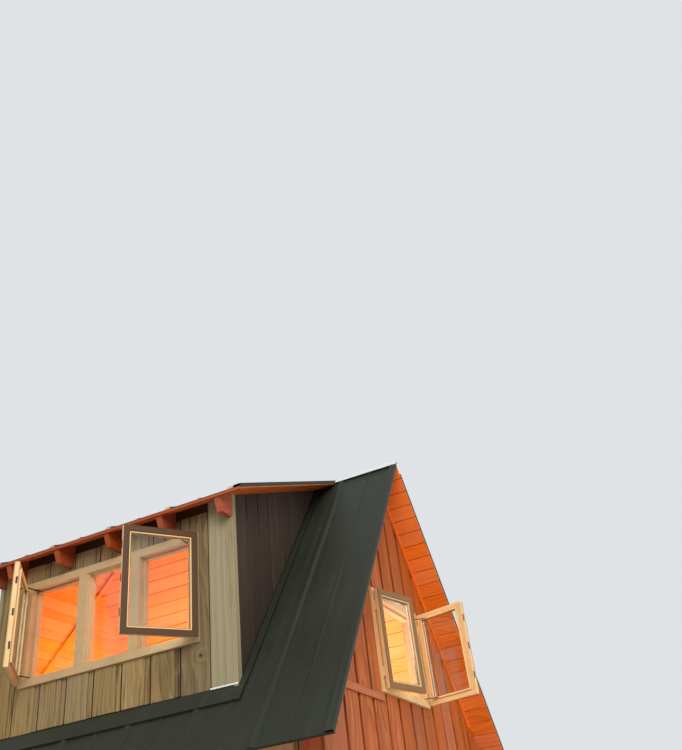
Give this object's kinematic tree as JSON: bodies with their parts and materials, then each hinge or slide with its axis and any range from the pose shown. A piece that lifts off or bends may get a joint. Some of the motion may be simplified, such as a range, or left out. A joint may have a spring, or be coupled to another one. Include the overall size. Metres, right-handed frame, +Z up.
{
  "type": "a-frame cabin",
  "caption": "Small steep-roofed a-frame cabin with a shed dormer, open casement windows, ribbed metal roof and board cladding, standing on timber skids.",
  "frame": {"origin": "on the ground at the underside of the middle skid, below the middle of the cabin's body", "axes": "+X along the front wall to the right as seen from in front, +Y back along the ridge, +Z up"},
  "size_m": [3.2347, 3.4028, 4.2662],
  "materials": {
    "weathered_boards": "rough, weathered grey",
    "cedar_boards": "oiled, satin",
    "cheek_boards": "dark stained",
    "roof_metal": "satin, ribbed",
    "ridge_metal": "satin",
    "pine_lining": "satin",
    "rafter_wood": "planed",
    "window_vinyl": "matt",
    "sash_taupe": "matt",
    "window_glass": "clear",
    "door_wood": "oiled",
    "ground_timber": "rough",
    "black_iron": "satin black"
  },
  "bodies": {
    "root": {"skids": "ground_timber", "floor_deck": "pine_lining", "loft_floor": "pine_lining", "front_wall_left": "cedar_boards", "front_wall_right": "cedar_boards", "front_wall_middle": "cedar_boards", "front_gable_top": "cedar_boards", "threshold": "door_wood", "back_wall": "cedar_boards", "left_wall": "weathered_boards", "right_wall": "weathered_boards", "roof_left_front": "roof_metal", "roof_left_back": "roof_metal", "roof_left_eave": "roof_metal", "roof_right": "roof_metal", "ridge_beam": "pine_lining", "ridge_cap": "ridge_metal", "dormer_roof": "roof_metal", "dormer_rafters": "rafter_wood", "dormer_cheek_front": "cheek_boards", "dormer_cheek_back": "cheek_boards", "dormer_wall_low": "weathered_boards", "dormer_wall_head": "weathered_boards", "dormer_wall_front": "weathered_boards", "dormer_wall_back": "weathered_boards", "dormer_apron": "roof_metal", "dormer_window_frame": "window_vinyl", "dormer_fixed_pane": "window_glass", "dormer_sash_front": "sash_taupe", "dormer_pane_front": "window_glass", "dormer_sash_back": "window_vinyl", "dormer_pane_back": "window_glass", "gable_window_frame": "window_vinyl", "gable_sash_left": "window_vinyl", "gable_pane_left": "window_glass", "gable_sash_right": "window_vinyl", "gable_pane_right": "window_glass", "back_window_frame": "window_vinyl", "back_window_pane": "window_glass", "side_window_frames": "window_vinyl", "side_window_panes": "window_glass", "door_frame": "door_wood", "front_door": "door_wood", "door_handle": "black_iron", "door_step": "ground_timber"}
  },
  "joints": []
}
